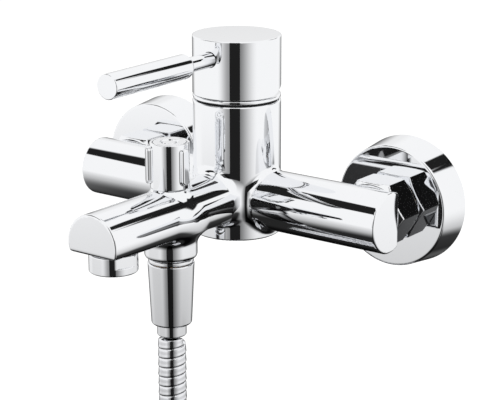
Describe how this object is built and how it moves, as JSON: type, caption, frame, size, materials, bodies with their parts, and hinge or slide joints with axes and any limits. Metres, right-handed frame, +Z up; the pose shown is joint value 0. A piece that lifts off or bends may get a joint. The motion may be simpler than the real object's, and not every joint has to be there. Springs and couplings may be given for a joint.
{
  "type": "wall mounted bath faucet",
  "caption": "Exposed wall-mounted bath and shower mixer with a bar lever on an upright body, a round spout with a diverter knob, an aerator, and a coiled shower hose below.",
  "frame": {"origin": "on the finished wall, midway between the two inlets and at their height", "axes": "+Y into the wall, -Y along the spout towards the user, +Z up, +X to the right as the user faces the wall"},
  "size_m": [0.2144, 0.1757, 0.4323],
  "materials": {
    "chrome": "polished chrome plate on brass",
    "brass": "machined",
    "steel": "stainless, turned",
    "rubber": "moulded, matt",
    "acetal": "moulded acetal",
    "ceramic": "lapped alumina",
    "hose": "double-lock steel spiral over a rubber tube"
  },
  "bodies": {
    "mixer": {"mixer_body": "chrome", "union_nut_left": "chrome", "union_nut_right": "chrome", "wall_flange_left": "chrome", "wall_flange_right": "chrome", "cover_ring": "chrome", "aerator_housing": "chrome", "hose_nut": "chrome", "hose_ferrule": "chrome", "hose_end_nut": "chrome", "hose_end_ferrule": "chrome", "inlet_tailpiece_left": "brass", "inlet_tailpiece_right": "brass", "eccentric_connector_left": "brass", "eccentric_connector_right": "brass", "cartridge_clamp_nut": "brass", "diverter_bonnet": "brass", "shower_outlet_nipple": "brass", "inlet_strainer_left": "steel", "inlet_strainer_right": "steel", "inlet_washer_left": "rubber", "inlet_washer_right": "rubber", "port_seal_left": "rubber", "port_seal_right": "rubber", "port_seal_mixed": "rubber", "diverter_o_ring": "rubber", "aerator_washer": "rubber", "shower_outlet_ring": "rubber", "hose_washer": "rubber", "coil_tie_1": "rubber", "coil_tie_2": "rubber", "cartridge_base": "acetal", "cartridge_housing": "acetal", "aerator_insert": "acetal", "check_valve_seat": "acetal", "check_valve_guide": "acetal", "fixed_ceramic_disc": "ceramic", "hose_lead": "hose", "hose_coil": "hose", "hose_tail": "hose"},
    "turner": {"temperature_turner": "acetal", "lever_pivot_pin": "steel"},
    "lever": {"lever_stem": "steel", "handle_cap": "chrome", "lever_neck": "chrome", "lever_grip": "chrome", "handle_set_screw": "steel", "set_screw_plug": "acetal"},
    "disc": {"moving_ceramic_disc": "ceramic", "disc_carrier": "acetal"},
    "diverter": {"diverter_rotor": "brass", "diverter_knob": "chrome", "diverter_knob_screw": "steel", "diverter_knob_disc": "chrome"},
    "poppet": {"check_valve_poppet": "acetal", "check_valve_spring": "steel"}
  },
  "joints": [
    {"name": "temperature_turn", "type": "hinge", "parent": "mixer", "child": "turner", "pos_m": [0, -0.043, 0.05], "axis": [0, 0, 1], "range_deg": [-50, 50]},
    {"name": "lever_lift", "type": "hinge", "parent": "turner", "child": "lever", "pos_m": [0, -0.043, 0.05], "axis": [-1, 0, 0], "range_deg": [0, 18]},
    {"name": "disc_slide", "type": "slide", "parent": "turner", "child": "disc", "axis": [0, -1, 0], "range_m": [0, 0.004]},
    {"name": "diverter_turn", "type": "hinge", "parent": "mixer", "child": "diverter", "pos_m": [0, -0.0964, 0.0152], "axis": [0, 0, 1], "range_deg": [0, 90]},
    {"name": "check_valve_open", "type": "slide", "parent": "mixer", "child": "poppet", "axis": [0, 0, -1], "range_m": [0, 0.003], "stiffness_N_per_m": 40, "springref_m": -0.004, "deforming": ["check_valve_spring"]}
  ],
  "couplings": [
    {"joint": "disc_slide", "follows": "lever_lift", "m_per_rad": 0.0126}
  ]
}
